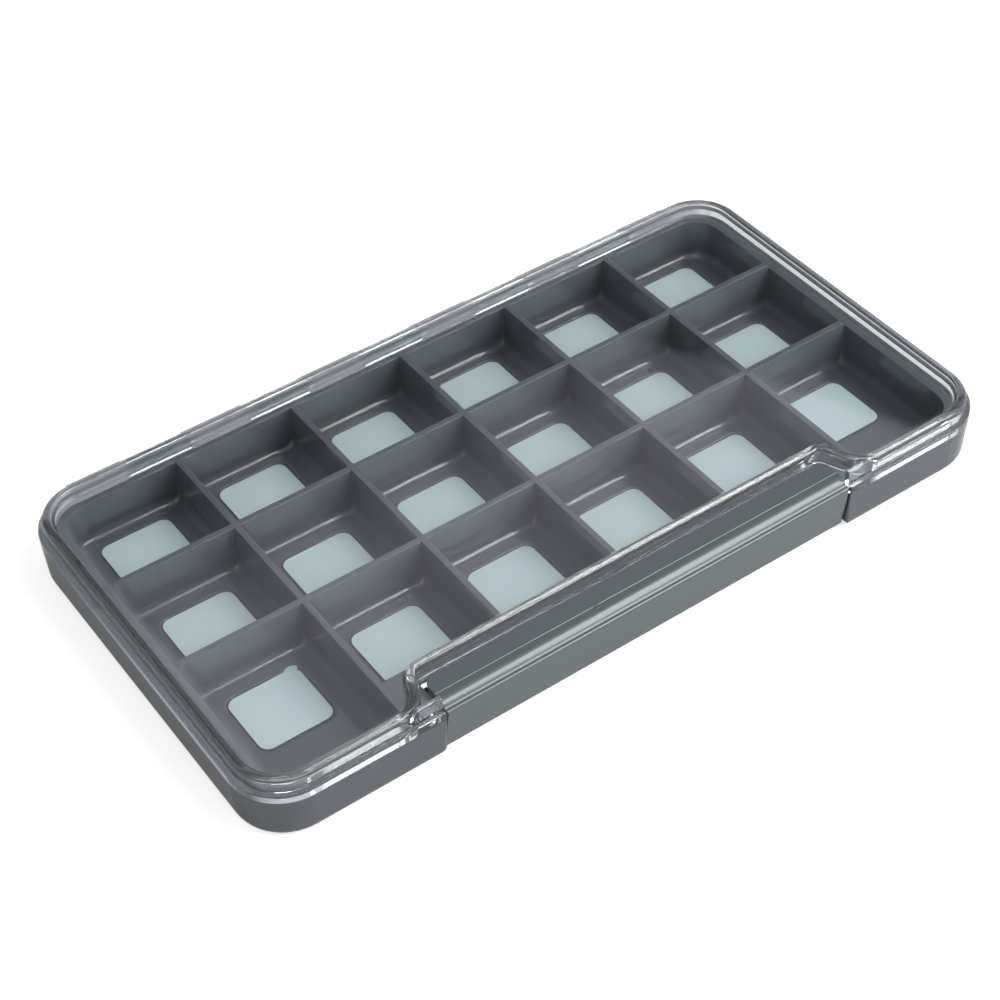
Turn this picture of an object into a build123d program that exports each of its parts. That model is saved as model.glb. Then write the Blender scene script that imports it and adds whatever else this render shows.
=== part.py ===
from build123d import *
import math
import os

# Slim compartment box for fishing flies, closed.  Millimetres, +Z up, +X along the length,
# -Y towards the latch.  The origin is the middle of the flat underside of the tray.

# ---- driving dimensions -------------------------------------------------------------

body_length = 190.0
body_depth = 100.5
corner_radius = 12.0
seam_height = 11.0
wall_draft = 2.5
bottom_radius = 2.5
floor_top = 1.4

# compartments; a rise is a height above the seam
column_pitch = 29.6
row_pitch = 27.2
columns = 6
rows = 3
rear_row_inset = 17.05
divider_thickness = 1.4
divider_rise = 1.5
divider_end_gap = 0.25
divider_end_radius = 0.7
inner_wall_rise = 0.7
cavity_inset = 5.25
cavity_end_inset = 6.0
notch_wall = 7.1
pocket_draft = 1.0
floor_fillet = 1.9

# magnet pads
pad_length = 17.2
pad_depth = 16.0
pad_thickness = 0.7
pad_corner_radius = 2.4
pad_gap = 0.2

# recess of the rim round the latch
recess_depth = 9.5
recess_corner_setback = 1.0
recess_corner_radius = 0.4
recess_sweep_radius = 9.6
recess_slope = 67.0
notch_corner_radius = 3.4

# seal and its groove
groove_outer_inset = 1.8
groove_inner_inset = 4.0
groove_depth = 2.1
seal_side_gap = 0.15
seal_height = 1.4
seal_edge_chamfer = 0.35

# lid
lid_seat_gap = 0.07
lid_ledge_thickness = 2.1
lid_panel_clearance = 1.8
lid_panel_thickness = 1.5
lid_bead_rise = 0.7
lid_bead_outer_inset = 1.1
lid_bead_inner_inset = 3.3
lid_bead_outer_radius = 1.3
lid_bead_inner_radius = 0.55
lid_wall_gap = 0.15
lid_rib_gap = 0.15
lid_rib_thickness = 1.0
lid_end_wall_length = 6.9
lid_end_wall_thickness = 1.25
lid_end_wall_radius = 0.3

# hinge, placed from the rear wall and the seam
hinge_offset = 1.45
hinge_drop = 0.2
knuckle_radius = 1.8
lid_knuckle_radius = 2.0
knuckle_length = 15.2
knuckle_pitch = 30.8
knuckle_count = 5
knuckle_side_gap = 0.25
knuckle_round_gap = 0.25
hinge_end_inset = 12.7
hinge_hood_inset = 0.5
hinge_pin_radius = 0.75
hinge_pin_end_gap = 0.4
running_gap = 0.05
web_foot_depth = 4.8
web_tangent = -80.0
hood_tangent = 60.0

# latch; an inset is a distance back from the front of the tray
latch_half_length = 52.4
latch_end_gap = 0.4
latch_rear_gap = 0.5
latch_top_rise = 3.5
latch_line_inset = 4.35
latch_line_size = 0.2
latch_bulge_start_inset = 3.65
latch_bulge_inset = 2.15
latch_bulge_rise = 3.0
latch_groove_start_inset = 1.3
latch_groove_start_rise = 2.25
latch_groove_inset = 1.0
latch_groove_rise = 2.06
latch_groove_end_inset = 0.75
latch_groove_end_rise = 1.98
latch_ridge_top_inset = 0.27
latch_ridge_top_rise = 1.74
latch_ridge_inset = 0.1
latch_ridge_rise = 1.2
latch_foot_inset = 1.35
latch_foot_z = 1.9
latch_bottom_z = 1.2
latch_wall = 1.7
latch_rib_thickness = 1.4
latch_bays = 6
latch_boss_radius = 2.1
latch_rear_corner = 2.5
latch_front_corner = 0.8
latch_pin_inset = 4.25
latch_pin_z = 3.6
latch_pin_radius = 0.8
latch_pin_seat = 3.6

# ---- values that follow from them ---------------------------------------------------

half_length = body_length / 2
half_depth = body_depth / 2
front_y = -half_depth
wall_lean = seam_height * math.tan(math.radians(wall_draft))

divider_top = seam_height + divider_rise
inner_wall_top = seam_height + inner_wall_rise
groove_floor = seam_height - groove_depth
lid_bottom = seam_height + lid_seat_gap
lid_ledge_top = seam_height + lid_ledge_thickness
lid_panel_bottom = divider_top + lid_panel_clearance
lid_panel_top = lid_panel_bottom + lid_panel_thickness
lid_bead_top = lid_panel_top + lid_bead_rise
lid_wall_inset = groove_inner_inset - lid_wall_gap

notch_half_length = latch_half_length + latch_end_gap
recess_corner_x = notch_half_length - recess_corner_setback
recess_y = front_y + recess_depth

row_names = ["rear", "middle", "front"]
row_centres = [half_depth - rear_row_inset - row_pitch * i for i in range(rows)]
column_centres = [column_pitch * (i - (columns - 1) / 2) for i in range(columns)]

hinge_y = half_depth + hinge_offset
hinge_z = seam_height - hinge_drop
hinge_hood_y = hinge_y - hinge_hood_inset
hinge_end_x = half_length - hinge_end_inset
web_foot_z = seam_height - web_foot_depth
tray_knuckle_xs = [knuckle_pitch * (i - (knuckle_count - 1) / 2) for i in range(knuckle_count)]

latch_rear_y = recess_y - latch_rear_gap
latch_top_z = seam_height + latch_top_rise
latch_pin_y = front_y + latch_pin_inset
latch_bottom_radius = latch_foot_z - latch_bottom_z
latch_bay = (2 * latch_half_length - (latch_bays + 1) * latch_rib_thickness) / latch_bays

latch_bulge_start = (front_y + latch_bulge_start_inset, latch_top_z)
latch_bulge = (front_y + latch_bulge_inset, seam_height + latch_bulge_rise)
latch_groove_start = (front_y + latch_groove_start_inset, seam_height + latch_groove_start_rise)
latch_groove = (front_y + latch_groove_inset, seam_height + latch_groove_rise)
latch_groove_end = (front_y + latch_groove_end_inset, seam_height + latch_groove_end_rise)
latch_ridge_top = (front_y + latch_ridge_top_inset, seam_height + latch_ridge_top_rise)
latch_ridge = (front_y + latch_ridge_inset, seam_height + latch_ridge_rise)
latch_foot = (front_y + latch_foot_inset, latch_foot_z)

os.makedirs("parts", exist_ok=True)


def write(piece, name):
    """Label a finished piece and write its file."""
    piece.part.label = name
    export_step(piece.part, f"parts/{name}.step")


# ---- outlines -----------------------------------------------------------------------


def polar(centre, radius, degrees):
    """Point at an angle on a circle."""
    angle = math.radians(degrees)
    return (centre[0] + radius * math.cos(angle), centre[1] + radius * math.sin(angle))


def rim_shape(inset):
    """Area inside the rim line that sweeps round the latch, moved in by an even distance."""
    lean = 90 - recess_slope
    inner = (recess_corner_x, recess_y - recess_corner_radius)
    outer_y = front_y + recess_sweep_radius
    reach = recess_corner_radius + recess_sweep_radius
    reach -= (outer_y - inner[1]) * math.sin(math.radians(lean))
    outer = (inner[0] + reach / math.cos(math.radians(lean)), outer_y)
    corner = corner_radius - inset
    end_x = half_length - inset
    rear_y = half_depth - inset
    with BuildSketch() as shape:
        with BuildLine():
            Line((0, recess_y + inset), (inner[0], recess_y + inset))
            turn = CenterArc(inner, recess_corner_radius + inset, 90, -recess_slope)
            sweep = CenterArc(outer, recess_sweep_radius - inset, 180 + lean, recess_slope)
            Line(turn @ 1, sweep @ 0)
            Line(sweep @ 1, (end_x - corner, -rear_y))
            CenterArc((end_x - corner, corner - rear_y), corner, 270, 90)
            Line((end_x, corner - rear_y), (end_x, rear_y - corner))
            CenterArc((end_x - corner, rear_y - corner), corner, 0, 90)
            Line((end_x - corner, rear_y), (0, rear_y))
            mirror(about=Plane.YZ)
        make_face()
    return shape.sketch


def rim_ring(outer_inset, inner_inset):
    """Even band between two insets of the rim line."""
    with BuildSketch() as ring:
        add(rim_shape(outer_inset))
        add(rim_shape(inner_inset), mode=Mode.SUBTRACT)
    return ring.sketch


def body_shape():
    """Whole plan of the box, less the notch that the latch fills."""
    with BuildSketch() as plan:
        RectangleRounded(body_length, body_depth, corner_radius)
        with Locations((0, recess_y - body_depth / 2)):
            Rectangle(2 * notch_half_length, body_depth, mode=Mode.SUBTRACT)
    return plan.sketch


def cavity_shape(shrink):
    """Plan of all the compartments together, without the recess, moved in by an even distance."""
    with BuildSketch() as plan:
        RectangleRounded(
            body_length - 2 * (cavity_end_inset + shrink),
            body_depth - 2 * (cavity_inset + shrink),
            corner_radius - cavity_inset - shrink,
        )
    return plan.sketch


# ---- shapes used more than once -----------------------------------------------------


def hinge_barrel(start_x, end_x, radius):
    """Cylinder on the lid's hinge axis."""
    with BuildPart() as barrel:
        with BuildSketch(Plane.YZ.offset(start_x)):
            with Locations((hinge_y, hinge_z)):
                Circle(radius)
        extrude(amount=end_x - start_x)
    return barrel.part


def latch_barrel(start_x, end_x, radius):
    """Cylinder on the latch's hinge axis."""
    with BuildPart() as barrel:
        with BuildSketch(Plane.YZ.offset(start_x)):
            with Locations((latch_pin_y, latch_pin_z)):
                Circle(radius)
        extrude(amount=end_x - start_x)
    return barrel.part


def lid_knuckle_spans():
    """Start and end of each lid knuckle, between and outside the tray's."""
    half = knuckle_length / 2 + knuckle_side_gap
    edges = [-hinge_end_x]
    for x in tray_knuckle_xs:
        edges += [x - half, x + half]
    edges.append(hinge_end_x)
    return list(zip(edges[0::2], edges[1::2]))


def pocket(row, column):
    """Hollow of one compartment: drafted walls and a floor that curves up into them."""
    half_x = (column_pitch - divider_thickness) / 2
    half_y = (row_pitch - divider_thickness) / 2
    x = column_centres[column]
    y = row_centres[row]
    low_x = -half_length if column == 0 else x - half_x
    high_x = half_length if column == columns - 1 else x + half_x
    low_y = front_y if row == rows - 1 else y - half_y
    high_y = half_depth if row == 0 else y + half_y
    with BuildPart() as hollow:
        with BuildSketch(Plane.XY.offset(floor_top)):
            add(cavity_shape(0))
            with Locations(((low_x + high_x) / 2, (low_y + high_y) / 2)):
                Rectangle(high_x - low_x, high_y - low_y, mode=Mode.INTERSECT)
            with Locations((0, recess_y + cavity_inset - half_depth)):
                Rectangle(2 * (notch_half_length + notch_wall), body_depth, mode=Mode.SUBTRACT)
        extrude(amount=divider_top - floor_top)
        draft(hollow.faces().filter_by(Axis.Z, reverse=True), Plane.XY.offset(divider_top), -pocket_draft)
        fillet(hollow.faces().sort_by(Axis.Z)[0].edges(), floor_fillet)
    return hollow.part


# ---- tray ---------------------------------------------------------------------------

# the dividers stand a little above the wall round them and curve down to it at their ends
with BuildPart() as divider_crown:
    with BuildSketch(Plane.XY.offset(inner_wall_top)):
        add(cavity_shape(divider_end_gap))
        with Locations((0, recess_y + cavity_inset + divider_end_gap - half_depth)):
            crown_cut = notch_half_length + notch_wall - divider_thickness
            Rectangle(2 * crown_cut, body_depth, mode=Mode.SUBTRACT)
    extrude(amount=divider_top - inner_wall_top)
    fillet(divider_crown.faces().sort_by(Axis.Z)[-1].edges(), divider_end_radius)
    with BuildSketch(Plane.XY.offset(inner_wall_top)):
        add(rim_shape(groove_inner_inset))
    extrude(amount=divider_top - inner_wall_top, mode=Mode.INTERSECT)

with BuildPart() as tray:
    with BuildSketch(Plane.XY):
        RectangleRounded(body_length, body_depth, corner_radius)
    extrude(amount=seam_height)
    draft(tray.faces().filter_by(Axis.Z, reverse=True), Plane.XY.offset(seam_height), -wall_draft)
    fillet(tray.faces().sort_by(Axis.Z)[0].edges(), bottom_radius)

    # notch for the latch, its lower corners rounded
    with BuildSketch(Plane.XZ.offset(-recess_y)):
        with BuildLine():
            Line((0, 0), (notch_half_length + notch_corner_radius, 0))
            CenterArc(
                (notch_half_length + notch_corner_radius, notch_corner_radius),
                notch_corner_radius,
                180,
                90,
            )
            Line((notch_half_length, notch_corner_radius), (notch_half_length, seam_height))
            Line((notch_half_length, seam_height), (0, seam_height))
            mirror(about=Plane.YZ)
        make_face()
    extrude(amount=2 * recess_depth, mode=Mode.SUBTRACT)

    # inner wall, standing above the seam inside the lid
    with BuildSketch(Plane.XY.offset(seam_height)):
        add(rim_shape(groove_inner_inset))
    extrude(amount=inner_wall_top - seam_height)
    add(divider_crown.part)

    # seal groove
    with BuildSketch(Plane.XY.offset(groove_floor)):
        add(rim_ring(groove_outer_inset, groove_inner_inset))
    extrude(amount=seam_height - groove_floor, mode=Mode.SUBTRACT)

    # compartments and the seats of the pads in their floors
    for row in range(rows):
        for column in range(columns):
            add(pocket(row, column), mode=Mode.SUBTRACT)
    with BuildSketch(Plane.XY.offset(floor_top)):
        for y in row_centres:
            for x in column_centres:
                with Locations((x, y)):
                    RectangleRounded(
                        pad_length + 2 * pad_gap,
                        pad_depth + 2 * pad_gap,
                        pad_corner_radius + pad_gap,
                    )
    extrude(amount=-pad_thickness, mode=Mode.SUBTRACT)

    # room for the lid's knuckles, then the tray's own knuckles on their webs
    for start_x, end_x in lid_knuckle_spans():
        clear_radius = lid_knuckle_radius + knuckle_round_gap
        room = hinge_barrel(start_x - knuckle_side_gap, end_x + knuckle_side_gap, clear_radius)
        add(room, mode=Mode.SUBTRACT)
    for x in tray_knuckle_xs:
        start_x = x - knuckle_length / 2
        with BuildSketch(Plane.YZ.offset(start_x)):
            with BuildLine():
                Polyline(
                    (half_depth - groove_outer_inset / 2, web_foot_z),
                    (half_depth - wall_lean, web_foot_z),
                    polar((hinge_y, hinge_z), knuckle_radius, web_tangent),
                    (hinge_y, hinge_z),
                    (half_depth - groove_outer_inset / 2, hinge_z),
                    close=True,
                )
            make_face()
            with Locations((hinge_y, hinge_z)):
                Circle(knuckle_radius)
        extrude(amount=knuckle_length)
    add(hinge_barrel(-half_length, half_length, hinge_pin_radius + running_gap), mode=Mode.SUBTRACT)

    # holes for the latch's pin in both sides of the notch
    hole_end = notch_half_length + latch_pin_seat + running_gap
    add(latch_barrel(-hole_end, hole_end, latch_pin_radius + running_gap), mode=Mode.SUBTRACT)
write(tray, "base_tray")

# ---- pads ---------------------------------------------------------------------------

for row, y in enumerate(row_centres):
    for column, x in enumerate(column_centres):
        with BuildPart() as pad:
            with BuildSketch(Plane.XY.offset(floor_top - pad_thickness)):
                with Locations((x, y)):
                    RectangleRounded(pad_length, pad_depth, pad_corner_radius)
            extrude(amount=pad_thickness)
        write(pad, f"magnet_pad_{row_names[row]}_{column + 1}")

# ---- seal ---------------------------------------------------------------------------

with BuildPart() as seal:
    with BuildSketch(Plane.XY.offset(groove_floor)):
        add(rim_ring(groove_outer_inset + seal_side_gap, groove_inner_inset - seal_side_gap))
    extrude(amount=seal_height)
    chamfer(seal.faces().sort_by(Axis.Z)[-1].edges(), seal_edge_chamfer)
write(seal, "lid_seal")

# ---- lid ----------------------------------------------------------------------------

# short wall that carries the line of the bead on to the notch
with BuildPart() as lid_end_wall:
    with BuildSketch(Plane.XY.offset(lid_ledge_top)):
        middle_y = front_y + lid_bead_outer_inset + lid_end_wall_thickness / 2
        with Locations((notch_half_length + lid_end_wall_length / 2, middle_y)):
            Rectangle(lid_end_wall_length, lid_end_wall_thickness)
    extrude(amount=lid_bead_top - lid_ledge_top)
    fillet(lid_end_wall.faces().sort_by(Axis.Z)[-1].edges().filter_by(Axis.X), lid_end_wall_radius)

with BuildPart() as lid:
    # rounded bead round a flat panel
    with BuildSketch(Plane.XY.offset(lid_bottom)):
        add(rim_shape(lid_bead_outer_inset))
    extrude(amount=lid_bead_top - lid_bottom)
    fillet(lid.faces().sort_by(Axis.Z)[-1].edges(), lid_bead_outer_radius)
    with BuildSketch(Plane.XY.offset(lid_panel_top)):
        add(rim_shape(lid_bead_inner_inset))
    extrude(amount=lid_bead_top - lid_panel_top, mode=Mode.SUBTRACT)
    fillet(lid.faces().sort_by(Axis.Z)[-1].inner_wires().edges(), lid_bead_inner_radius)

    # ledge outside the bead, flush with the tray's walls, and the hood over the hinge
    with BuildSketch(Plane.XY.offset(lid_bottom)):
        add(body_shape())
    extrude(amount=lid_ledge_top - lid_bottom)
    add(lid_end_wall.part)
    add(mirror(lid_end_wall.part, about=Plane.YZ))
    with BuildSketch(Plane.YZ.offset(-hinge_end_x)):
        with BuildLine():
            Polyline(
                (half_depth - lid_bead_outer_inset, lid_bottom),
                (half_depth - lid_bead_outer_inset, lid_ledge_top),
                (hinge_hood_y, lid_ledge_top),
                polar((hinge_y, hinge_z), lid_knuckle_radius, hood_tangent),
                (hinge_y, hinge_z),
                (half_depth, lid_bottom),
                close=True,
            )
        make_face()
        with Locations((hinge_y, hinge_z)):
            Circle(lid_knuckle_radius)
    extrude(amount=2 * hinge_end_x)

    # hollow under the panel, and the rib that presses the seal
    with BuildSketch(Plane.XY.offset(lid_bottom)):
        add(rim_shape(lid_wall_inset))
    extrude(amount=lid_panel_bottom - lid_bottom, mode=Mode.SUBTRACT)
    rib_bottom = groove_floor + seal_height + lid_rib_gap
    rib_inset = (groove_outer_inset + groove_inner_inset - lid_rib_thickness) / 2
    with BuildSketch(Plane.XY.offset(rib_bottom)):
        add(rim_ring(rib_inset, rib_inset + lid_rib_thickness))
    extrude(amount=lid_bottom - rib_bottom)

    # gaps for the tray's knuckles
    for x in tray_knuckle_xs:
        half = knuckle_length / 2 + knuckle_side_gap
        add(hinge_barrel(x - half, x + half, knuckle_radius + knuckle_round_gap), mode=Mode.SUBTRACT)
        with BuildSketch(Plane.YZ.offset(x - half)):
            with BuildLine():
                Polyline(
                    (hinge_hood_y, hinge_z),
                    (hinge_hood_y, lid_bead_top),
                    (hinge_y + 2 * lid_knuckle_radius, lid_bead_top),
                    (hinge_y + 2 * lid_knuckle_radius, hinge_z - lid_knuckle_radius),
                    (hinge_hood_y, hinge_z - lid_knuckle_radius),
                    close=True,
                )
            make_face()
        extrude(amount=2 * half, mode=Mode.SUBTRACT)
    add(hinge_barrel(-half_length, half_length, hinge_pin_radius + running_gap), mode=Mode.SUBTRACT)
write(lid, "lid")

# ---- latch --------------------------------------------------------------------------

with BuildPart() as latch:
    # section: flat top, bulge, groove and ridge, sloping front, then the boss round the pin
    with BuildSketch(Plane.YZ.offset(-latch_half_length)):
        with BuildLine():
            Line((latch_rear_y, latch_top_z), latch_bulge_start)
            ThreePointArc(latch_bulge_start, latch_bulge, latch_groove_start)
            ThreePointArc(latch_groove_start, latch_groove, latch_groove_end)
            ThreePointArc(latch_groove_end, latch_ridge_top, latch_ridge)
            Line(latch_ridge, latch_foot)
            underside = (latch_foot[0] + latch_bottom_radius, latch_bottom_z)
            RadiusArc(latch_foot, underside, -latch_bottom_radius)
            Polyline(
                underside,
                (latch_pin_y, latch_bottom_z),
                (latch_pin_y + latch_boss_radius, latch_pin_z),
                (latch_rear_y, latch_top_z - latch_wall),
                (latch_rear_y, latch_top_z),
            )
        make_face()
        with Locations((latch_pin_y, latch_pin_z)):
            Circle(latch_boss_radius)
    extrude(amount=2 * latch_half_length)

    # bays between the ribs, open to the rear and below
    for i in range(latch_bays):
        bay_start = -latch_half_length + latch_rib_thickness + i * (latch_bay + latch_rib_thickness)
        with BuildSketch(Plane.YZ.offset(bay_start)):
            with BuildLine():
                Polyline(
                    (recess_y, latch_top_z - latch_wall),
                    (latch_bulge_start[0], latch_top_z - latch_wall),
                    (latch_ridge[0] + latch_wall, latch_ridge[1] - latch_wall / 2),
                    (latch_foot[0] + latch_wall, latch_foot_z),
                    (latch_foot[0] + latch_wall, 0),
                    (recess_y, 0),
                    close=True,
                )
            make_face()
        extrude(amount=latch_bay, mode=Mode.SUBTRACT)

    # fine line along the top plate
    with BuildSketch(Plane.YZ.offset(-latch_half_length)):
        with Locations((front_y + latch_line_inset, latch_top_z)):
            Rectangle(latch_line_size, latch_line_size, rotation=45)
    extrude(amount=2 * latch_half_length, mode=Mode.SUBTRACT)

    # ends rounded as seen from above
    with BuildSketch() as latch_plan:
        with Locations((0, (latch_rear_y - half_depth) / 2)):
            Rectangle(2 * latch_half_length, latch_rear_y + half_depth)
        fillet(latch_plan.vertices().group_by(Axis.Y)[-1], latch_rear_corner)
        fillet(latch_plan.vertices().group_by(Axis.Y)[0], latch_front_corner)
    extrude(amount=latch_top_z, mode=Mode.INTERSECT)
    add(latch_barrel(-half_length, half_length, latch_pin_radius + running_gap), mode=Mode.SUBTRACT)
write(latch, "latch")

# ---- pins ---------------------------------------------------------------------------

with BuildPart() as hinge_pin:
    hinge_pin_end = hinge_end_x - hinge_pin_end_gap
    add(hinge_barrel(-hinge_pin_end, hinge_pin_end, hinge_pin_radius))
write(hinge_pin, "lid_hinge_pin")

with BuildPart() as latch_pin:
    latch_pin_end = notch_half_length + latch_pin_seat
    add(latch_barrel(-latch_pin_end, latch_pin_end, latch_pin_radius))
write(latch_pin, "latch_pin")
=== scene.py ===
import math

import bpy
from bpy.props import FloatProperty, FloatVectorProperty, PointerProperty
from bpy.types import Operator, Panel, PropertyGroup
from mathutils import Matrix, Vector


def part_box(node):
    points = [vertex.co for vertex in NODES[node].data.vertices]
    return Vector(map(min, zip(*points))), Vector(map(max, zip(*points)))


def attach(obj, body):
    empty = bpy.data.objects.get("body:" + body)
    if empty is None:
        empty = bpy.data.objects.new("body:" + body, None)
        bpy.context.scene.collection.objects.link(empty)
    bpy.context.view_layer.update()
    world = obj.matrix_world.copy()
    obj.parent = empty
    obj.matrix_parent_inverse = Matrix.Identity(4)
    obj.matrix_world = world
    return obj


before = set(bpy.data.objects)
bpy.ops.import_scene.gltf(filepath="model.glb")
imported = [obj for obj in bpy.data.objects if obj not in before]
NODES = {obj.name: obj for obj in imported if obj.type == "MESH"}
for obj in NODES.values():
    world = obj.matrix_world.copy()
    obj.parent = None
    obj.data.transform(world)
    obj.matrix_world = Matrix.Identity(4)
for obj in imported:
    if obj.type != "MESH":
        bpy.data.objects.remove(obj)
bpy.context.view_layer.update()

bl_info = {
    "name": "Fly Box Finish",
    "version": (1, 0, 0),
    "blender": (4, 5, 0),
    "location": "3D View > Sidebar > Fly Box",
    "description": "Finishes, small mouldings, light and camera for a slim compartment box",
    "category": "Object",
}

MM = 0.001

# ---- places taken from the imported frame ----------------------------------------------

PAD_NODES = sorted(name for name in NODES if name.startswith("magnet_pad_"))
LID_LOW, LID_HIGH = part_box("lid")

# the tray's five hinge lugs along the rear edge, and the stretches of the lid between them, in mm
LUG_PITCH = 30.8
LUG_HALF = 7.85
LUG_ENDS = [LID_LOW[0] / MM]
for place in range(-2, 3):
    LUG_ENDS += [LUG_PITCH * place - LUG_HALF, LUG_PITCH * place + LUG_HALF]
LUG_ENDS.append(LID_HIGH[0] / MM)
LID_LUGS = list(zip(LUG_ENDS[0::2], LUG_ENDS[1::2]))

# ---- small moulding marks: rings of radius and height from the foot to the middle -----

PAD_NUB = ((1.0, -0.1 * MM), (1.0, 0.04 * MM), (0.9, 0.05 * MM))
PAD_NUB_X = -66.9 * MM
PAD_NUB_INSET = 0.3 * MM
PAD_NUB_SIZE = (1.5 * MM, 0.95 * MM)
GATE_MARK = (
    (0.7 * MM, -0.1 * MM), (0.7 * MM, 0.0), (0.58 * MM, 0.13 * MM), (0.46 * MM, 0.13 * MM),
    (0.3 * MM, 0.01 * MM), (0.1 * MM, 0.005 * MM),
)
GATE_MARK_PLACE = (-12.95 * MM, -46.33 * MM)
GATE_MARK_STRETCH = (1.0, 0.75)

# ---- finish ---------------------------------------------------------------------------

# gloss low and high, relief, then the rounding at the foot of the compartments and above, in mm
TRAY_FINISH = (0.045, 0.08, 0.12, 1.3, 0.4)
LATCH_FINISH = (0.16, 0.22, 0.2, 0.18, 0.18)
LID_ROUGHNESS = 0.01
SEAL_ROUGHNESS = 0.25
RELIEF_DEPTH = 0.02 * MM
# the values between which a noise texture mostly stays
NOISE_SPAN = (0.3, 0.7)
FOOT_TOP = 5.5 * MM
WALL_START = 6.5 * MM

# where the lid's flat top gives way to its rim, at the ends, at the rear and round the notch
RIM_SIDE = (88.5 * MM, 89.5 * MM)
RIM_REAR = (44.0 * MM, 45.0 * MM)
NOTCH_ENDS = (53.5 * MM, 57.0 * MM)
RIM_FRONT = (-37.5 * MM, -46.0 * MM)
LUG_SOFTNESS = 0.15 * MM

# ---- light ----------------------------------------------------------------------------

FLOOR_REACH = 3.0
FLOOR_TONE = (0.60, 0.60, 0.60, 1.0)
FLOOR_GLOW = 0.62
FLOOR_GLOW_THROUGH = 0.2

# soft boxes: bearing from the camera's own side, height angle, width, height, power
LAMPS = (
    ("lamp_right", 284, 47, 0.62, 0.66, 12.0),
    ("lamp_right_low", 270, 16, 0.9, 0.45, 7.0),
    ("lamp_behind_right", 228, 14, 0.9, 0.45, 8.0),
    ("lamp_front", 323, 11, 0.8, 0.4, 8.8),
    ("lamp_left", 95, 39, 0.9, 0.6, 2.6),
    ("lamp_over", 10, 62, 0.5, 0.4, 2.6),
)
LAMP_DISTANCE = 1.3
MIRRORED_ABOVE = 40

# what mirrors and clear plastic see: directions, with the cosines at which they start and end
DIM_BEHIND = ((0.25, 0.62, 0.74), 0.86, 0.74)
DIM_LEFT = ((-0.62, 0.60, 0.50), 0.88, 0.76)
DIM_COLOUR = (0.03, 0.03, 0.035)
BRIGHT_COLOUR = (0.86, 0.87, 0.91)
FILL_COLOUR = (0.29, 0.295, 0.30)
# the card is a far soft box: one sharp edge, one soft edge, its lower end and its left end
CARD_COLOUR = (0.62, 0.60, 0.70)
CARD_EDGES = (
    ((-0.83, -0.40, 1.0), -0.003, 0.003),
    ((0.0, -1.078, 1.0), -0.03, 0.06),
    ((0.0, 1.0, 0.0), 0.36, 0.46),
    ((1.0, 0.0, 0.0), 0.05, 0.25),
)


# ---- node helpers --------------------------------------------------------------------


def new_material(name):
    """Empty node material with its output, its Principled shader and Object coordinates."""
    material = bpy.data.materials.new(name)
    material.use_nodes = True
    tree = material.node_tree
    tree.nodes.clear()
    output = tree.nodes.new("ShaderNodeOutputMaterial")
    shader = tree.nodes.new("ShaderNodeBsdfPrincipled")
    tree.links.new(shader.outputs["BSDF"], output.inputs["Surface"])
    place = tree.nodes.new("ShaderNodeTexCoord")
    return material, tree, shader, place.outputs["Object"]


def group_node(tree, group, **values):
    """Group placed in a material with its own values."""
    node = tree.nodes.new("ShaderNodeGroup")
    node.node_tree = group
    for name, value in values.items():
        node.inputs[name].default_value = value
    return node


def add_socket(group, name, direction, kind, default=None):
    socket = group.interface.new_socket(name=name, in_out=direction, socket_type=kind)
    if default is not None:
        socket.default_value = default
    return socket


def math_node(tree, operation, *values):
    """Math node; each value is a number or a socket."""
    node = tree.nodes.new("ShaderNodeMath")
    node.operation = operation
    for i, value in enumerate(values):
        if isinstance(value, (int, float)):
            node.inputs[i].default_value = value
        else:
            tree.links.new(value, node.inputs[i])
    return node.outputs[0]


def map_range(tree, value, low, high, to_low, to_high):
    node = tree.nodes.new("ShaderNodeMapRange")
    tree.links.new(value, node.inputs["Value"])
    for name, number in (("From Min", low), ("From Max", high), ("To Min", to_low), ("To Max", to_high)):
        if isinstance(number, (int, float)):
            node.inputs[name].default_value = number
        else:
            tree.links.new(number, node.inputs[name])
    return node.outputs["Result"]


def mix_colour(tree, factor, first, second):
    """Colour between two; each is a colour or a socket."""
    node = tree.nodes.new("ShaderNodeMix")
    node.data_type = "RGBA"
    for socket, value in ((node.inputs[0], factor), (node.inputs[6], first), (node.inputs[7], second)):
        if hasattr(value, "is_linked"):
            tree.links.new(value, socket)
        elif isinstance(value, (int, float)):
            socket.default_value = value
        else:
            socket.default_value = (*value[:3], 1.0)
    return node.outputs[2]


def plane_mask(tree, place, across, low, high):
    """From 0 to 1 as the distance along a vector goes from low to high."""
    dot = tree.nodes.new("ShaderNodeVectorMath")
    dot.operation = "DOT_PRODUCT"
    tree.links.new(place, dot.inputs[0])
    dot.inputs[1].default_value = across
    return map_range(tree, dot.outputs["Value"], low, high, 0.0, 1.0)


def direction_mask(tree, place, towards, inner, outer):
    """From 0 to 1 as the angle to a direction goes from the inner to the outer cosine."""
    return plane_mask(tree, place, Vector(towards).normalized(), inner, outer)


# ---- shared effects ------------------------------------------------------------------


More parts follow.
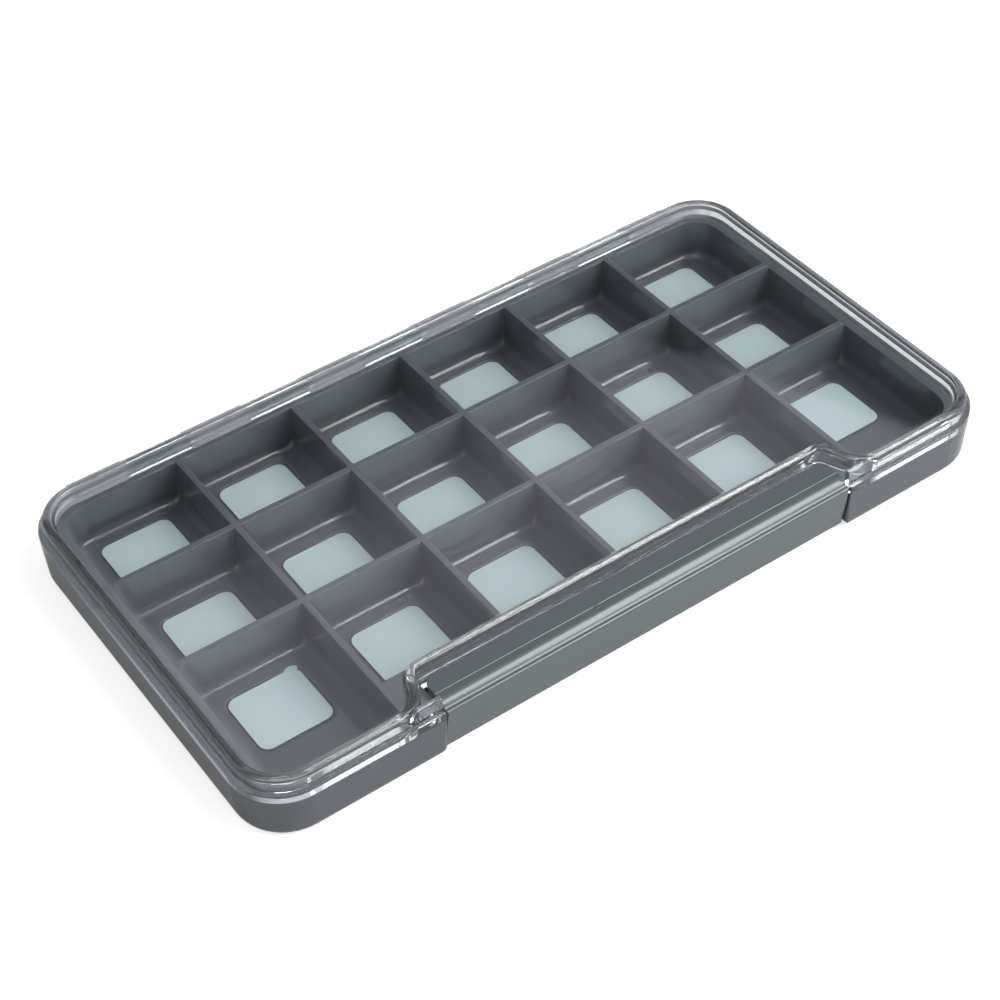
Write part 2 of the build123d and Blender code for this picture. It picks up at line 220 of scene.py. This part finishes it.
def moulded_surface_group():
    """Fine moulding texture: uneven tone, uneven gloss and a soft orange-peel height."""
    group = bpy.data.node_groups.new("moulded_surface", "ShaderNodeTree")
    add_socket(group, "Place", "INPUT", "NodeSocketVector")
    add_socket(group, "Colour", "INPUT", "NodeSocketColor", (0.1, 0.1, 0.1, 1.0))
    add_socket(group, "Tone Spread", "INPUT", "NodeSocketFloat", 0.06)
    add_socket(group, "Gloss Low", "INPUT", "NodeSocketFloat", 0.3)
    add_socket(group, "Gloss High", "INPUT", "NodeSocketFloat", 0.4)
    add_socket(group, "Texture Scale", "INPUT", "NodeSocketFloat", 160.0)
    add_socket(group, "Colour", "OUTPUT", "NodeSocketColor")
    add_socket(group, "Roughness", "OUTPUT", "NodeSocketFloat")
    add_socket(group, "Height", "OUTPUT", "NodeSocketFloat")
    start = group.nodes.new("NodeGroupInput")
    end = group.nodes.new("NodeGroupOutput")
    broad = group.nodes.new("ShaderNodeTexNoise")
    broad.inputs["Scale"].default_value = 22.0
    broad.inputs["Detail"].default_value = 3.0
    fine = group.nodes.new("ShaderNodeTexNoise")
    fine.inputs["Detail"].default_value = 2.0
    group.links.new(start.outputs["Place"], broad.inputs["Vector"])
    group.links.new(start.outputs["Place"], fine.inputs["Vector"])
    group.links.new(start.outputs["Texture Scale"], fine.inputs["Scale"])
    lift = math_node(group, "SUBTRACT", broad.outputs["Fac"], 0.5)
    lift = math_node(group, "MULTIPLY", lift, start.outputs["Tone Spread"])
    lift = math_node(group, "ADD", lift, 1.0)
    scale = group.nodes.new("ShaderNodeVectorMath")
    scale.operation = "SCALE"
    group.links.new(start.outputs["Colour"], scale.inputs[0])
    group.links.new(lift, scale.inputs["Scale"])
    group.links.new(scale.outputs[0], end.inputs["Colour"])
    low, high = start.outputs["Gloss Low"], start.outputs["Gloss High"]
    group.links.new(map_range(group, broad.outputs["Fac"], *NOISE_SPAN, low, high), end.inputs["Roughness"])
    group.links.new(fine.outputs["Fac"], end.inputs["Height"])
    return group


def edge_wear_group():
    """Mask that is 1 on sharp outer edges and 0 on flats, broken up by noise."""
    group = bpy.data.node_groups.new("edge_wear", "ShaderNodeTree")
    add_socket(group, "Place", "INPUT", "NodeSocketVector")
    add_socket(group, "Amount", "INPUT", "NodeSocketFloat", 0.5)
    add_socket(group, "Mask", "OUTPUT", "NodeSocketFloat")
    start = group.nodes.new("NodeGroupInput")
    end = group.nodes.new("NodeGroupOutput")
    bevel = group.nodes.new("ShaderNodeBevel")
    bevel.samples = 4
    bevel.inputs["Radius"].default_value = 0.35 * MM
    face = group.nodes.new("ShaderNodeNewGeometry")
    dot = group.nodes.new("ShaderNodeVectorMath")
    dot.operation = "DOT_PRODUCT"
    group.links.new(bevel.outputs["Normal"], dot.inputs[0])
    group.links.new(face.outputs["Normal"], dot.inputs[1])
    edge = map_range(group, dot.outputs["Value"], 0.98, 0.75, 0.0, 1.0)
    noise = group.nodes.new("ShaderNodeTexNoise")
    noise.inputs["Scale"].default_value = 260.0
    group.links.new(start.outputs["Place"], noise.inputs["Vector"])
    broken = map_range(group, noise.outputs["Fac"], 0.35, 0.65, 0.3, 1.0)
    mask = math_node(group, "MULTIPLY", edge, broken)
    mask = math_node(group, "MULTIPLY", mask, start.outputs["Amount"])
    group.links.new(mask, end.inputs["Mask"])
    return group


def shared_group(name, maker):
    """Effect group by name, made the first time it is asked for."""
    return bpy.data.node_groups.get(name) or maker()


# ---- materials -----------------------------------------------------------------------


def moulded_material(name, colour, worn, finish):
    """Coloured moulded plastic with softened, worn edges."""
    gloss_low, gloss_high, bump, foot, rounding = finish
    material, tree, shader, place = new_material(name)
    surface = group_node(tree, shared_group("moulded_surface", moulded_surface_group))
    surface.inputs["Colour"].default_value = (*colour, 1.0)
    surface.inputs["Gloss Low"].default_value = gloss_low
    surface.inputs["Gloss High"].default_value = gloss_high
    wear = group_node(tree, shared_group("edge_wear", edge_wear_group), Amount=0.5)
    tree.links.new(place, surface.inputs["Place"])
    tree.links.new(place, wear.inputs["Place"])
    tint = mix_colour(tree, wear.outputs["Mask"], surface.outputs["Colour"], worn)
    tree.links.new(tint, shader.inputs["Base Color"])
    tree.links.new(surface.outputs["Roughness"], shader.inputs["Roughness"])
    relief = tree.nodes.new("ShaderNodeBump")
    relief.inputs["Strength"].default_value = bump
    relief.inputs["Distance"].default_value = RELIEF_DEPTH
    tree.links.new(surface.outputs["Height"], relief.inputs["Height"])
    soft = tree.nodes.new("ShaderNodeBevel")
    soft.samples = 12
    tree.links.new(edge_radius(tree, place, foot * MM, rounding * MM), soft.inputs["Radius"])
    tree.links.new(soft.outputs["Normal"], relief.inputs["Normal"])
    tree.links.new(relief.outputs["Normal"], shader.inputs["Normal"])
    shader.inputs["IOR"].default_value = 1.5
    return material


def edge_radius(tree, place, foot, above):
    """Rounding of the edges: one radius at the foot of the compartments, another above."""
    parts = tree.nodes.new("ShaderNodeSeparateXYZ")
    tree.links.new(place, parts.inputs[0])
    return map_range(tree, parts.outputs["Z"], FOOT_TOP, WALL_START, foot, above)


def clear_material(name, tint, roughness):
    """Clear polished plastic; lamps shine through it so that what it covers is lit."""
    material, tree, shader, place = new_material(name)
    shader.inputs["Base Color"].default_value = (*tint, 1.0)
    shader.inputs["Transmission Weight"].default_value = 1.0
    shader.inputs["IOR"].default_value = 1.49
    noise = tree.nodes.new("ShaderNodeTexNoise")
    noise.inputs["Scale"].default_value = 60.0
    tree.links.new(place, noise.inputs["Vector"])
    gloss = map_range(tree, noise.outputs["Fac"], *NOISE_SPAN, roughness, roughness * 2)
    tree.links.new(gloss, shader.inputs["Roughness"])
    output = next(n for n in tree.nodes if n.type == "OUTPUT_MATERIAL")
    open_way = tree.nodes.new("ShaderNodeBsdfTransparent")
    open_way.inputs["Color"].default_value = (*tint, 1.0)
    rays = tree.nodes.new("ShaderNodeLightPath")
    mix = tree.nodes.new("ShaderNodeMixShader")
    tree.links.new(rays.outputs["Is Shadow Ray"], mix.inputs[0])
    tree.links.new(shader.outputs["BSDF"], mix.inputs[1])
    tree.links.new(open_way.outputs["BSDF"], mix.inputs[2])
    tree.links.new(mix.outputs["Shader"], output.inputs["Surface"])
    return material


def span_mask(tree, value, low, high, soft):
    """1 where a value lies between two limits, with soft ends."""
    rise = map_range(tree, value, low - soft, low + soft, 0.0, 1.0)
    fall = map_range(tree, value, high - soft, high + soft, 1.0, 0.0)
    return math_node(tree, "MULTIPLY", rise, fall)


def lid_edges(tree, place):
    """Masks of the lid's thick rim, unevenly cloudy, and of its own hinge lugs."""
    parts = tree.nodes.new("ShaderNodeSeparateXYZ")
    tree.links.new(place, parts.inputs[0])
    along, across = parts.outputs["X"], parts.outputs["Y"]
    ends = math_node(tree, "ABSOLUTE", along)
    side = map_range(tree, ends, *RIM_SIDE, 0.0, 1.0)
    rear = map_range(tree, across, *RIM_REAR, 0.0, 1.0)
    wing = map_range(tree, ends, *NOTCH_ENDS, *RIM_FRONT)
    front = math_node(tree, "LESS_THAN", across, wing)
    edge = math_node(tree, "MAXIMUM", math_node(tree, "MAXIMUM", side, rear), front)
    noise = tree.nodes.new("ShaderNodeTexNoise")
    noise.inputs["Scale"].default_value = 180.0
    tree.links.new(place, noise.inputs["Vector"])
    uneven = map_range(tree, noise.outputs["Fac"], *NOISE_SPAN, 0.75, 1.0)
    lugs = 0.0
    for low, high in LID_LUGS:
        lug = span_mask(tree, along, low * MM, high * MM, LUG_SOFTNESS)
        lugs = math_node(tree, "ADD", lugs, lug)
    return math_node(tree, "MULTIPLY", edge, uneven), math_node(tree, "MULTIPLY", lugs, rear)


def pad_material(colour):
    """Smooth satin film of the pads, slightly clouded."""
    material, tree, shader, place = new_material("pad_film")
    surface = group_node(tree, shared_group("moulded_surface", moulded_surface_group))
    surface.inputs["Colour"].default_value = (*colour, 1.0)
    surface.inputs["Tone Spread"].default_value = 0.05
    surface.inputs["Gloss Low"].default_value = 0.38
    surface.inputs["Gloss High"].default_value = 0.46
    tree.links.new(place, surface.inputs["Place"])
    tree.links.new(surface.outputs["Colour"], shader.inputs["Base Color"])
    tree.links.new(surface.outputs["Roughness"], shader.inputs["Roughness"])
    return material


def painted_gap_shade_material():
    """Painted shade: a dark ring that fills the gap round each pad, its darkness varied by noise."""
    material, tree, shader, place = new_material("pad_painted_shade_ring")
    noise = tree.nodes.new("ShaderNodeTexNoise")
    noise.inputs["Scale"].default_value = 400.0
    tree.links.new(place, noise.inputs["Vector"])
    tint = mix_colour(tree, noise.outputs["Fac"], (0.012, 0.013, 0.015), (0.03, 0.032, 0.035))
    tree.links.new(tint, shader.inputs["Base Color"])
    gloss = map_range(tree, noise.outputs["Fac"], *NOISE_SPAN, 0.5, 0.7)
    tree.links.new(gloss, shader.inputs["Roughness"])
    return material


def steel_material():
    """Drawn wire: fine lines along its length."""
    material, tree, shader, place = new_material("pin_wire")
    shader.inputs["Metallic"].default_value = 1.0
    stretch = tree.nodes.new("ShaderNodeMapping")
    stretch.inputs["Scale"].default_value = (20.0, 4000.0, 4000.0)
    tree.links.new(place, stretch.inputs["Vector"])
    noise = tree.nodes.new("ShaderNodeTexNoise")
    noise.inputs["Scale"].default_value = 1.0
    tree.links.new(stretch.outputs["Vector"], noise.inputs["Vector"])
    gloss = map_range(tree, noise.outputs["Fac"], *NOISE_SPAN, 0.22, 0.4)
    tree.links.new(gloss, shader.inputs["Roughness"])
    tint = mix_colour(tree, noise.outputs["Fac"], (0.5, 0.5, 0.5), (0.68, 0.68, 0.67))
    tree.links.new(tint, shader.inputs["Base Color"])
    return material


def dress(name, material):
    """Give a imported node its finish."""
    slots = NODES[name].material_slots
    if not slots:
        NODES[name].data.materials.append(material)
    for slot in NODES[name].material_slots:
        slot.link = "OBJECT"
        slot.material = material


# ---- what repeats --------------------------------------------------------------------


def outline_tree():
    """Rounded rectangles swept with a small section, one at each point of a grid."""
    tree = bpy.data.node_groups.new("pad_outlines", "GeometryNodeTree")
    for name, kind in (
        ("Columns", "NodeSocketInt"),
        ("Rows", "NodeSocketInt"),
        ("Pitch X", "NodeSocketFloat"),
        ("Pitch Y", "NodeSocketFloat"),
        ("Centre", "NodeSocketVector"),
        ("Length", "NodeSocketFloat"),
        ("Depth", "NodeSocketFloat"),
        ("Corner Radius", "NodeSocketFloat"),
        ("Line Width", "NodeSocketFloat"),
        ("Line Height", "NodeSocketFloat"),
        ("Material", "NodeSocketMaterial"),
    ):
        add_socket(tree, name, "INPUT", kind)
    add_socket(tree, "Geometry", "OUTPUT", "NodeSocketGeometry")
    start = tree.nodes.new("NodeGroupInput").outputs
    end = tree.nodes.new("NodeGroupOutput")
    grid = tree.nodes.new("GeometryNodeMeshGrid")
    for axis, count in (("X", "Columns"), ("Y", "Rows")):
        steps = math_node(tree, "SUBTRACT", start[count], 1.0)
        span = math_node(tree, "MULTIPLY", steps, start["Pitch " + axis])
        tree.links.new(span, grid.inputs["Size " + axis])
        tree.links.new(start[count], grid.inputs["Vertices " + axis])
    place = tree.nodes.new("GeometryNodeTransform")
    tree.links.new(grid.outputs["Mesh"], place.inputs["Geometry"])
    tree.links.new(start["Centre"], place.inputs["Translation"])
    path = tree.nodes.new("GeometryNodeCurvePrimitiveQuadrilateral")
    tree.links.new(start["Length"], path.inputs["Width"])
    tree.links.new(start["Depth"], path.inputs["Height"])
    round_off = tree.nodes.new("GeometryNodeFilletCurve")
    round_off.mode = "POLY"
    round_off.inputs["Count"].default_value = 8
    tree.links.new(path.outputs["Curve"], round_off.inputs["Curve"])
    tree.links.new(start["Corner Radius"], round_off.inputs["Radius"])
    section = tree.nodes.new("GeometryNodeCurvePrimitiveQuadrilateral")
    tree.links.new(start["Line Width"], section.inputs["Width"])
    tree.links.new(start["Line Height"], section.inputs["Height"])
    sweep = tree.nodes.new("GeometryNodeCurveToMesh")
    tree.links.new(round_off.outputs["Curve"], sweep.inputs["Curve"])
    tree.links.new(section.outputs["Curve"], sweep.inputs["Profile Curve"])
    copies = tree.nodes.new("GeometryNodeInstanceOnPoints")
    tree.links.new(place.outputs["Geometry"], copies.inputs["Points"])
    tree.links.new(sweep.outputs["Mesh"], copies.inputs["Instance"])
    real = tree.nodes.new("GeometryNodeRealizeInstances")
    tree.links.new(copies.outputs["Instances"], real.inputs["Geometry"])
    dressed = tree.nodes.new("GeometryNodeSetMaterial")
    tree.links.new(real.outputs["Geometry"], dressed.inputs["Geometry"])
    tree.links.new(start["Material"], dressed.inputs["Material"])
    tree.links.new(dressed.outputs["Geometry"], end.inputs["Geometry"])
    return tree


def grown(name, tree, values):
    """Plain mesh object made by a geometry tree with these inputs."""
    holder = bpy.data.objects.new(name + "_holder", bpy.data.meshes.new(name + "_holder"))
    bpy.context.scene.collection.objects.link(holder)
    modifier = holder.modifiers.new(name, "NODES")
    modifier.node_group = tree
    for item in tree.interface.items_tree:
        if item.in_out == "INPUT" and item.name in values:
            modifier[item.identifier] = values[item.name]
    bpy.context.view_layer.update()
    seen = holder.evaluated_get(bpy.context.evaluated_depsgraph_get())
    mesh = bpy.data.meshes.new_from_object(seen)
    bpy.data.objects.remove(holder)
    if not mesh.polygons:
        raise RuntimeError(name + " came out empty")
    mesh.name = name
    piece = bpy.data.objects.new(name, mesh)
    bpy.context.scene.collection.objects.link(piece)
    return piece


def turned_mark(name, centre, stretch, profile, material):
    """Small closed oval shape: rings of (radius, height) from the foot to the middle."""
    around = 32
    verts, faces = [], []
    for radius, height in profile:
        for k in range(around):
            turn = 2 * math.pi * k / around
            verts.append((
                centre[0] + stretch[0] * radius * math.cos(turn),
                centre[1] + stretch[1] * radius * math.sin(turn),
                centre[2] + height,
            ))
    for row in range(len(profile) - 1):
        for k in range(around):
            after = (k + 1) % around
            low, high = row * around, (row + 1) * around
            faces.append((low + k, low + after, high + after, high + k))
    faces.append(tuple(reversed(range(around))))
    faces.append(tuple(range((len(profile) - 1) * around, len(profile) * around)))
    mesh = bpy.data.meshes.new(name)
    mesh.from_pydata(verts, [], faces)
    for face in mesh.polygons:
        face.use_smooth = True
    mesh.materials.append(material)
    piece = bpy.data.objects.new(name, mesh)
    bpy.context.scene.collection.objects.link(piece)
    return piece


# ---- settings ------------------------------------------------------------------------


class FlyBoxFinish(PropertyGroup):
    """Colours and gloss of the pieces."""

    tray_colour: FloatVectorProperty(
        name="Tray Colour", description="Grey of the moulded tray", subtype="COLOR", size=3,
        min=0.0, max=1.0, default=(0.064, 0.0695, 0.079),
    )
    latch_colour: FloatVectorProperty(
        name="Latch Colour", description="Grey of the moulded latch", subtype="COLOR", size=3,
        min=0.0, max=1.0, default=(0.071, 0.086, 0.090),
    )
    worn_colour: FloatVectorProperty(
        name="Worn Colour", description="Lighter grey where edges have rubbed", subtype="COLOR", size=3,
        min=0.0, max=1.0, default=(0.12, 0.125, 0.13),
    )
    pad_colour: FloatVectorProperty(
        name="Pad Colour", description="Film on the magnet pads", subtype="COLOR", size=3,
        min=0.0, max=1.0, default=(0.38, 0.475, 0.48),
    )
    lid_tint: FloatVectorProperty(
        name="Lid Tint", description="Tint of the clear lid", subtype="COLOR", size=3,
        min=0.0, max=1.0, default=(0.97, 0.985, 0.985),
    )
    # the four settings below shape the dark ring of painted shade that fills the gap round each pad
    line_width: FloatProperty(
        name="Painted Shade Ring Width", description="Width of the line", unit="LENGTH", default=0.32 * MM,
    )
    line_height: FloatProperty(
        name="Painted Shade Ring Height", description="Depth of the line", unit="LENGTH", default=0.5 * MM,
    )
    line_rise: FloatProperty(
        name="Painted Shade Ring Rise", description="From the pad's face up to the line", unit="LENGTH",
        default=0.02 * MM,
    )
    line_offset: FloatProperty(
        name="Painted Shade Ring Offset", description="From the pad's edge to the middle of the line",
        unit="LENGTH", default=0.1 * MM,
    )
    pad_corner: FloatProperty(
        name="Pad Corner", description="Corner radius of the line", unit="LENGTH", default=2.5 * MM,
    )
    rim_haze: FloatProperty(
        name="Rim Haze", description="Cloudiness of the lid's thick rim",
        min=0.0, max=1.0, default=0.022,
    )
    lug_haze: FloatProperty(
        name="Lug Haze", description="Cloudiness of the lid's hinge lugs",
        min=0.0, max=1.0, default=0.12,
    )
    rim_colour: FloatVectorProperty(
        name="Rim Colour", description="Tint of the lid's thick rim", subtype="COLOR", size=3,
        min=0.0, max=1.0, default=(0.86, 0.90, 0.91),
    )
    lug_colour: FloatVectorProperty(
        name="Lug Colour", description="Tint of the lid's hinge lugs", subtype="COLOR", size=3,
        min=0.0, max=1.0, default=(0.52, 0.53, 0.56),
    )
    seal_tint: FloatVectorProperty(
        name="Seal Tint", description="Tint of the silicone seal", subtype="COLOR", size=3,
        min=0.0, max=1.0, default=(0.8, 0.84, 0.84),
    )


class FlyBoxStage(PropertyGroup):
    """Camera."""

    target: FloatVectorProperty(
        name="Camera Target", description="Point that the camera looks at", subtype="TRANSLATION",
        unit="LENGTH", size=3, default=(-0.009879, -0.008199, 0.013249),
    )
    azimuth: FloatProperty(
        name="Camera Azimuth", description="Direction the camera looks from, from -Y towards -X",
        subtype="ANGLE", default=math.radians(34.326),
    )
    elevation: FloatProperty(
        name="Camera Elevation", description="Height of the camera above the level", subtype="ANGLE",
        default=math.radians(44.232),
    )
    roll: FloatProperty(
        name="Camera Roll", description="Turn about the line of sight", subtype="ANGLE",
        default=-0.03118,
    )
    distance: FloatProperty(
        name="Camera Distance", description="From the target", unit="LENGTH", default=0.455,
    )
    lens: FloatProperty(name="Lens", description="Focal length on a 36 mm sensor", default=76.46)


# ---- stage ---------------------------------------------------------------------------


class FLYBOX_OT_stage(Operator):
    """Make the floor, the lamps, the surroundings and the camera"""

    bl_idname = "flybox.stage"
    bl_label = "Stage"

    def execute(self, context):
        stage = context.scene.flybox_stage
        context.scene.view_settings.view_transform = "Standard"
        self.floor()
        self.surroundings(context.scene)
        self.lamps()
        self.camera(context.scene, stage)
        return {"FINISHED"}

    def floor(self):
        mesh = bpy.data.meshes.new("floor")
        far = FLOOR_REACH
        corners = [(-far, -far, 0), (far, -far, 0), (far, far, 0), (-far, far, 0)]
        mesh.from_pydata(corners, [], [(0, 1, 2, 3)])
        floor = bpy.data.objects.new("floor", mesh)
        bpy.context.scene.collection.objects.link(floor)
        material, tree, shader, place = new_material("floor_white")
        shader.inputs["Base Color"].default_value = FLOOR_TONE
        shader.inputs["Roughness"].default_value = 0.9
        shader.inputs["Specular IOR Level"].default_value = 0.1
        shader.inputs["Emission Color"].default_value = (1.0, 1.0, 1.0, 1.0)
        rays = tree.nodes.new("ShaderNodeLightPath")
        straight = math_node(tree, "MULTIPLY", rays.outputs["Is Camera Ray"], FLOOR_GLOW)
        through = math_node(tree, "MULTIPLY", rays.outputs["Is Transmission Ray"], FLOOR_GLOW_THROUGH)
        glow = math_node(tree, "MAXIMUM", straight, through)
        tree.links.new(glow, shader.inputs["Emission Strength"])
        mesh.materials.append(material)

    def surroundings(self, scene):
        """Even fill light, and what mirrors and clear plastic show: white all round but for a dim
        patch behind, where the lid's flat top would mirror it, with a faint card in one corner."""
        world = bpy.data.worlds.new("surroundings")
        scene.world = world
        world.use_nodes = True
        tree = world.node_tree
        tree.nodes.clear()
        place = tree.nodes.new("ShaderNodeTexCoord").outputs["Generated"]
        patch = direction_mask(tree, place, *DIM_BEHIND)
        left = direction_mask(tree, place, *DIM_LEFT)
        bright = math_node(tree, "MULTIPLY", patch, left)
        shown = mix_colour(tree, bright, DIM_COLOUR, BRIGHT_COLOUR)
        card = plane_mask(tree, place, *CARD_EDGES[0])
        for edge in CARD_EDGES[1:]:
            card = math_node(tree, "MULTIPLY", card, plane_mask(tree, place, *edge))
        shown = mix_colour(tree, card, shown, CARD_COLOUR)
        rays = tree.nodes.new("ShaderNodeLightPath")
        direct = math_node(tree, "LESS_THAN", rays.outputs["Diffuse Depth"], 0.5)
        seen = mix_colour(tree, direct, FILL_COLOUR, shown)
        back = tree.nodes.new("ShaderNodeBackground")
        tree.links.new(seen, back.inputs["Color"])
        output = tree.nodes.new("ShaderNodeOutputWorld")
        tree.links.new(back.outputs["Background"], output.inputs["Surface"])

    def lamps(self):
        """Soft boxes; the low ones light the sides and aren't mirrored by the lid's flat top."""
        camera_bearing = math.degrees(bpy.context.scene.flybox_stage.azimuth)
        for name, bearing, height, wide, tall, power in LAMPS:
            turn, lift = math.radians(bearing + camera_bearing), math.radians(height)
            flat = math.cos(lift)
            towards = Vector((-math.sin(turn) * flat, -math.cos(turn) * flat, math.sin(lift)))
            lamp = bpy.data.lights.new(name, "AREA")
            lamp.shape = "RECTANGLE"
            lamp.size, lamp.size_y = wide, tall
            lamp.energy = power
            obj = bpy.data.objects.new(name, lamp)
            bpy.context.scene.collection.objects.link(obj)
            obj.location = towards * LAMP_DISTANCE
            obj.visible_glossy = obj.visible_transmission = height > MIRRORED_ABOVE
            obj.rotation_euler = (-towards).to_track_quat("-Z", "Y").to_euler()

    def camera(self, scene, stage):
        flat = math.cos(stage.elevation)
        sine, cosine = math.sin(stage.azimuth), math.cos(stage.azimuth)
        back = Vector((-sine * flat, -cosine * flat, math.sin(stage.elevation)))
        right = Vector((cosine, -sine, 0.0))
        up = back.cross(right)
        turn = Matrix.Rotation(stage.roll, 3, back)
        axes = Matrix((turn @ right, turn @ up, back)).transposed()
        data = bpy.data.cameras.new("view")
        data.lens = stage.lens
        data.sensor_width = 36.0
        data.clip_start = 0.01
        camera = bpy.data.objects.new("view", data)
        scene.collection.objects.link(camera)
        place = Vector(stage.target) + back * stage.distance
        camera.matrix_world = Matrix.Translation(place) @ axes.to_4x4()
        scene.camera = camera


# ---- pieces --------------------------------------------------------------------------


class FLYBOX_OT_tray(Operator):
    """Finish the moulded tray"""

    bl_idname = "flybox.tray"
    bl_label = "Tray"

    def execute(self, context):
        look = context.scene.flybox_finish
        material = moulded_material("tray_plastic", look.tray_colour, look.worn_colour, TRAY_FINISH)
        dress("base_tray", material)
        return {"FINISHED"}


class FLYBOX_OT_latch(Operator):
    """Finish the latch"""

    bl_idname = "flybox.latch"
    bl_label = "Latch"

    def execute(self, context):
        look = context.scene.flybox_finish
        material = moulded_material("latch_plastic", look.latch_colour, look.worn_colour, LATCH_FINISH)
        dress("latch", material)
        low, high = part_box("latch")
        centre = (*GATE_MARK_PLACE, high[2])
        mark = turned_mark("latch_gate_mark", centre, GATE_MARK_STRETCH, GATE_MARK, material)
        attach(mark, "latch")
        return {"FINISHED"}


class FLYBOX_OT_lid(Operator):
    """Finish the clear lid"""

    bl_idname = "flybox.lid"
    bl_label = "Lid"

    def execute(self, context):
        look = context.scene.flybox_finish
        material = clear_material("lid_plastic", look.lid_tint, LID_ROUGHNESS)
        tree = material.node_tree
        shader = next(n for n in tree.nodes if n.type == "BSDF_PRINCIPLED")
        place = next(n for n in tree.nodes if n.type == "TEX_COORD").outputs["Object"]
        edge, lugs = lid_edges(tree, place)
        tint = mix_colour(tree, edge, look.lid_tint, look.rim_colour)
        tint = mix_colour(tree, lugs, tint, look.lug_colour)
        cloud = math_node(tree, "MULTIPLY", edge, look.rim_haze)
        cloud = math_node(tree, "MAXIMUM", cloud, math_node(tree, "MULTIPLY", lugs, look.lug_haze))
        tree.links.new(tint, shader.inputs["Base Color"])
        tree.links.new(math_node(tree, "SUBTRACT", 1.0, cloud), shader.inputs["Transmission Weight"])
        dress("lid", material)
        return {"FINISHED"}


class FLYBOX_OT_seal(Operator):
    """Finish the seal"""

    bl_idname = "flybox.seal"
    bl_label = "Seal"

    def execute(self, context):
        look = context.scene.flybox_finish
        dress("lid_seal", clear_material("seal_silicone", look.seal_tint, SEAL_ROUGHNESS))
        return {"FINISHED"}


class FLYBOX_OT_pads(Operator):
    """Finish the magnet pads"""

    bl_idname = "flybox.pads"
    bl_label = "Magnet Pads"

    def execute(self, context):
        material = pad_material(context.scene.flybox_finish.pad_colour)
        for name in PAD_NODES:
            dress(name, material)
        self.painted_shade_rings(context.scene.flybox_finish)
        low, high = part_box("magnet_pad_front_1")
        centre = (PAD_NUB_X, high[1] - PAD_NUB_INSET, high[2])
        nub = turned_mark("pad_nub", centre, PAD_NUB_SIZE, PAD_NUB, material)
        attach(nub, "tray")
        return {"FINISHED"}

    def painted_shade_rings(self, look):
        # a ring of painted shade in the gap round each pad, one on each point of the pads' grid
        boxes = [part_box(name) for name in PAD_NODES]
        middles = [(Vector(low) + Vector(high)) / 2 for low, high in boxes]
        columns = sorted({round(m.x, 5) for m in middles})
        rows = sorted({round(m.y, 5) for m in middles})
        low, high = boxes[0]
        width, height = look.line_width, look.line_height
        top = high[2] + look.line_rise
        piece = grown("pad_painted_shade_rings", outline_tree(), {
            "Columns": len(columns),
            "Rows": len(rows),
            "Pitch X": (columns[-1] - columns[0]) / (len(columns) - 1),
            "Pitch Y": (rows[-1] - rows[0]) / (len(rows) - 1),
            "Centre": ((columns[0] + columns[-1]) / 2, (rows[0] + rows[-1]) / 2, top - height / 2),
            "Length": high[0] - low[0] + 2 * look.line_offset,
            "Depth": high[1] - low[1] + 2 * look.line_offset,
            "Corner Radius": look.pad_corner,
            "Line Width": width,
            "Line Height": height,
            "Material": painted_gap_shade_material(),
        })
        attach(piece, "tray")


class FLYBOX_OT_pins(Operator):
    """Finish the hinge wires"""

    bl_idname = "flybox.pins"
    bl_label = "Pins"

    def execute(self, context):
        material = steel_material()
        for name in ("lid_hinge_pin", "latch_pin"):
            dress(name, material)
        return {"FINISHED"}


STEPS = (
    FLYBOX_OT_stage,
    FLYBOX_OT_tray,
    FLYBOX_OT_latch,
    FLYBOX_OT_lid,
    FLYBOX_OT_seal,
    FLYBOX_OT_pads,
    FLYBOX_OT_pins,
)


class FLYBOX_PT_panel(Panel):
    """Fly box pieces and stage"""

    bl_label = "Fly Box"
    bl_idname = "FLYBOX_PT_panel"
    bl_space_type = "VIEW_3D"
    bl_region_type = "UI"
    bl_category = "Fly Box"

    def draw(self, context):
        for step in STEPS:
            self.layout.operator(step.bl_idname)
        for group in (context.scene.flybox_finish, context.scene.flybox_stage):
            box = self.layout.box()
            for name in group.__annotations__:
                box.prop(group, name)


CLASSES = (FlyBoxFinish, FlyBoxStage, *STEPS, FLYBOX_PT_panel)


def register():
    for cls in CLASSES:
        bpy.utils.register_class(cls)
    bpy.types.Scene.flybox_finish = PointerProperty(type=FlyBoxFinish)
    bpy.types.Scene.flybox_stage = PointerProperty(type=FlyBoxStage)


def unregister():
    del bpy.types.Scene.flybox_stage
    del bpy.types.Scene.flybox_finish
    for cls in reversed(CLASSES):
        bpy.utils.unregister_class(cls)


def main():
    register()
    for step in STEPS:
        group, name = step.bl_idname.split(".")
        getattr(getattr(bpy.ops, group), name)()


if __name__ == "__main__":
    main()
